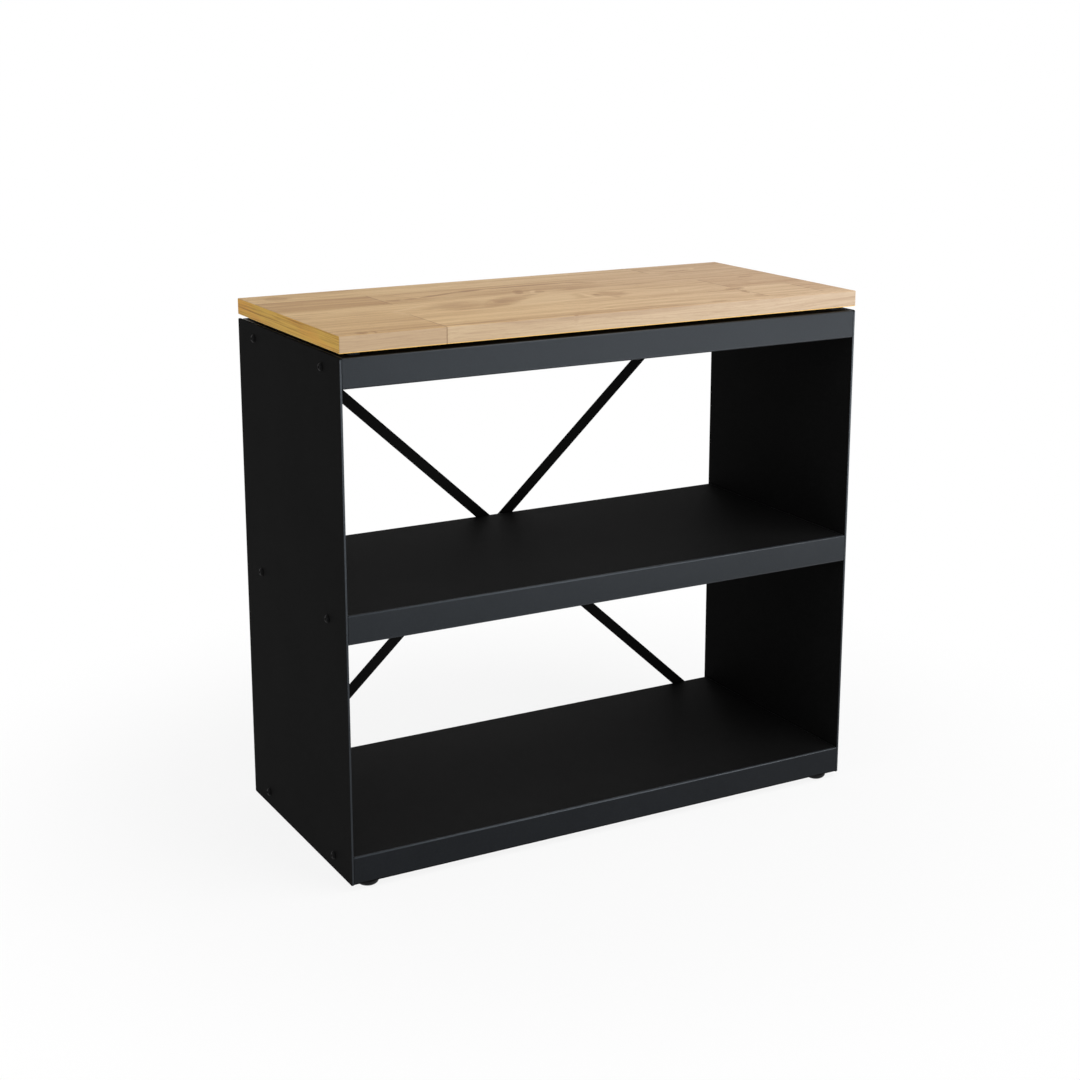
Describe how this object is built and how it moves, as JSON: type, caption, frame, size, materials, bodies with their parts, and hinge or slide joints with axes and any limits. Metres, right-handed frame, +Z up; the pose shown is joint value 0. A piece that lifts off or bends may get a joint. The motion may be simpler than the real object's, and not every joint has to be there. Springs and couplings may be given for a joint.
{
  "type": "firewood log rack",
  "caption": "Open steel rack with folded shelves between side panels, crossed rear bars, levelling feet and a thick wooden top, for stacking firewood.",
  "frame": {"origin": "on the floor, under the centre of the rack's footprint", "axes": "+X to the right along the front, +Y towards the back, +Z up; the open front faces -Y"},
  "size_m": [1.0088, 0.45, 0.931],
  "materials": {
    "powder_coat": "matt black powder coat",
    "black_screws": "blackened steel",
    "zinc_steel": "zinc plated",
    "oiled_wood": "oiled, glued staves",
    "spacer_nylon": "black nylon",
    "pad_nylon": "moulded black nylon"
  },
  "bodies": {
    "rack": {"left_side_panel": "powder_coat", "right_side_panel": "powder_coat", "bottom_shelf": "powder_coat", "middle_shelf": "powder_coat", "top_tray": "powder_coat", "left_panel_screws": "black_screws", "right_panel_screws": "black_screws", "bottom_shelf_nuts": "powder_coat", "middle_shelf_nuts": "powder_coat", "top_tray_nuts": "powder_coat", "falling_brace": "powder_coat", "rising_brace": "powder_coat", "brace_spacers": "black_screws", "brace_screws": "black_screws", "brace_nuts": "powder_coat", "wood_top": "oiled_wood", "top_spacers": "spacer_nylon", "top_screws": "zinc_steel", "foot_nuts": "powder_coat"},
    "front_left_stud": {"front_left_foot_stud": "zinc_steel"},
    "front_left_pad": {"front_left_foot_pad": "pad_nylon"},
    "front_right_stud": {"front_right_foot_stud": "zinc_steel"},
    "front_right_pad": {"front_right_foot_pad": "pad_nylon"},
    "rear_left_stud": {"rear_left_foot_stud": "zinc_steel"},
    "rear_left_pad": {"rear_left_foot_pad": "pad_nylon"},
    "rear_right_stud": {"rear_right_foot_stud": "zinc_steel"},
    "rear_right_pad": {"rear_right_foot_pad": "pad_nylon"}
  },
  "joints": [
    {"name": "front_left_foot_out", "type": "slide", "parent": "rack", "child": "front_left_stud", "axis": [0, 0, -1], "range_m": [0, 0.015]},
    {"name": "front_left_foot_turn", "type": "hinge", "parent": "front_left_stud", "child": "front_left_pad", "pos_m": [-0.463, -0.204, 0.005], "axis": [0, 0, -1], "range_deg": [-90, 4410]},
    {"name": "front_right_foot_out", "type": "slide", "parent": "rack", "child": "front_right_stud", "axis": [0, 0, -1], "range_m": [0, 0.015]},
    {"name": "front_right_foot_turn", "type": "hinge", "parent": "front_right_stud", "child": "front_right_pad", "pos_m": [0.463, -0.204, 0.005], "axis": [0, 0, -1], "range_deg": [-90, 4410]},
    {"name": "rear_left_foot_out", "type": "slide", "parent": "rack", "child": "rear_left_stud", "axis": [0, 0, -1], "range_m": [0, 0.015]},
    {"name": "rear_left_foot_turn", "type": "hinge", "parent": "rear_left_stud", "child": "rear_left_pad", "pos_m": [-0.463, 0.198, 0.005], "axis": [0, 0, -1], "range_deg": [-90, 4410]},
    {"name": "rear_right_foot_out", "type": "slide", "parent": "rack", "child": "rear_right_stud", "axis": [0, 0, -1], "range_m": [0, 0.015]},
    {"name": "rear_right_foot_turn", "type": "hinge", "parent": "rear_right_stud", "child": "rear_right_pad", "pos_m": [0.463, 0.198, 0.005], "axis": [0, 0, -1], "range_deg": [-90, 4410]}
  ],
  "couplings": [
    {"joint": "front_left_foot_turn", "follows": "front_left_foot_out", "rad_per_m": 5026.5},
    {"joint": "front_right_foot_turn", "follows": "front_right_foot_out", "rad_per_m": 5026.5},
    {"joint": "rear_left_foot_turn", "follows": "rear_left_foot_out", "rad_per_m": 5026.5},
    {"joint": "rear_right_foot_turn", "follows": "rear_right_foot_out", "rad_per_m": 5026.5}
  ]
}
